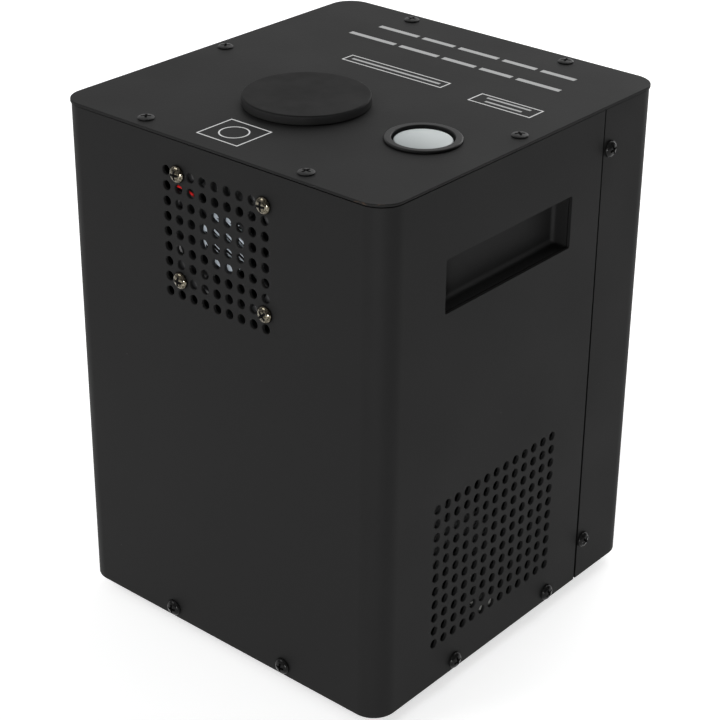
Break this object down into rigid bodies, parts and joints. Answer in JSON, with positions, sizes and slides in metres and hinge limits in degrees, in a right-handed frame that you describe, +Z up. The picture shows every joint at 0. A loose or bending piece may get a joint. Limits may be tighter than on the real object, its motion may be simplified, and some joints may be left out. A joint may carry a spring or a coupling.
{
  "type": "cold spark machine",
  "caption": "Free-standing sheet-metal stage effect machine that lifts hot granules up a barrel and out of a top outlet, with fill cap, fan vent, hand recesses and rear panel.",
  "frame": {"origin": "on the floor, below the middle of the machine's footprint", "axes": "+Z up; -Y is the front face with the fan vent; +Y is the rear face with the control panel; +X is the side with the spark outlet"},
  "size_m": [0.1924, 0.2024, 0.2626],
  "materials": {
    "powder_black": "fine matte powder coat",
    "black_plastic": "satin moulded",
    "collar_black": "satin black ring",
    "black_zinc": "glossy black",
    "nickel": "bright nickel",
    "steel": "plain",
    "rubber": "matte",
    "white_plastic": "satin",
    "insulation": "woven mineral wrap",
    "circuit_board": "lacquered",
    "smoked_window": "polished",
    "lead_red": "soft insulation"
  },
  "bodies": {
    "casing": {"front_shell": "powder_black", "rear_cover": "powder_black", "top_plate": "powder_black", "base_pan": "powder_black", "handle_cup_left": "powder_black", "handle_cup_right": "powder_black", "fan_frame": "black_plastic", "blower_housing": "black_plastic", "display_bezel": "black_plastic", "signal_input": "black_plastic", "signal_output": "black_plastic", "mains_inlet": "black_plastic", "rocker_frame": "black_plastic", "outlet_collar": "collar_black", "top_screw_1": "black_zinc", "top_screw_2": "black_zinc", "top_screw_3": "black_zinc", "top_screw_4": "black_zinc", "top_screw_5": "black_zinc", "top_screw_6": "black_zinc", "base_screw_1": "black_zinc", "base_screw_2": "black_zinc", "base_screw_3": "black_zinc", "base_screw_4": "black_zinc", "base_screw_5": "black_zinc", "base_screw_6": "black_zinc", "cover_screw_1": "black_zinc", "cover_screw_2": "black_zinc", "cover_screw_3": "black_zinc", "cover_screw_4": "black_zinc", "fan_screw_1": "nickel", "fan_screw_2": "nickel", "fan_screw_3": "nickel", "fan_screw_4": "nickel", "hopper": "steel", "spark_barrel": "steel", "heater_band": "steel", "feed_tube": "steel", "feed_motor": "steel", "feeder_bracket": "steel", "power_supply": "steel", "foot_1": "rubber", "foot_2": "rubber", "foot_3": "rubber", "foot_4": "rubber", "heater_jacket": "insulation", "control_board": "circuit_board", "display_window": "smoked_window", "fan_lead": "lead_red"},
    "fan_rotor": {"fan_rotor": "black_plastic"},
    "feed_auger": {"feed_auger": "steel"},
    "blower_wheel": {"blower_wheel": "black_plastic"},
    "fill_cap": {"fill_cap": "black_plastic"},
    "dust_plug": {"dust_plug": "white_plastic"},
    "power_rocker": {"power_rocker": "black_plastic"},
    "fuse_drawer": {"fuse_drawer": "black_plastic"},
    "button_1": {"button_1": "black_plastic"},
    "button_2": {"button_2": "black_plastic"},
    "button_3": {"button_3": "black_plastic"},
    "button_4": {"button_4": "black_plastic"}
  },
  "joints": [
    {"name": "fan_spin", "type": "hinge", "parent": "casing", "child": "fan_rotor", "pos_m": [0.0043, -0.08967, 0.2164], "axis": [0, 1, 0], "continuous": true},
    {"name": "auger_turn", "type": "hinge", "parent": "casing", "child": "feed_auger", "pos_m": [0, -0.03117, 0.1363], "axis": [1, 0, 0], "continuous": true},
    {"name": "blower_spin", "type": "hinge", "parent": "casing", "child": "blower_wheel", "pos_m": [0.0585, -0.01417, 0.0406], "axis": [1, 0, 0], "continuous": true},
    {"name": "fill_cap_lift", "type": "slide", "parent": "casing", "child": "fill_cap", "axis": [0, 0, 1], "range_m": [0, 0.05]},
    {"name": "dust_plug_lift", "type": "slide", "parent": "casing", "child": "dust_plug", "axis": [0, 0, 1], "range_m": [0, 0.04]},
    {"name": "rocker_tilt", "type": "hinge", "parent": "casing", "child": "power_rocker", "pos_m": [-0.038, 0.09713, 0.0583], "axis": [1, 0, 0], "range_deg": [0, 20]},
    {"name": "fuse_drawer_pull", "type": "slide", "parent": "casing", "child": "fuse_drawer", "axis": [0, 1, 0], "range_m": [0, 0.018]},
    {"name": "button_1_press", "type": "slide", "parent": "casing", "child": "button_1", "axis": [0, -1, 0], "range_m": [0, 0.0008], "stiffness_N_per_m": 250},
    {"name": "button_2_press", "type": "slide", "parent": "casing", "child": "button_2", "axis": [0, -1, 0], "range_m": [0, 0.0008], "stiffness_N_per_m": 250},
    {"name": "button_3_press", "type": "slide", "parent": "casing", "child": "button_3", "axis": [0, -1, 0], "range_m": [0, 0.0008], "stiffness_N_per_m": 250},
    {"name": "button_4_press", "type": "slide", "parent": "casing", "child": "button_4", "axis": [0, -1, 0], "range_m": [0, 0.0008], "stiffness_N_per_m": 250}
  ]
}
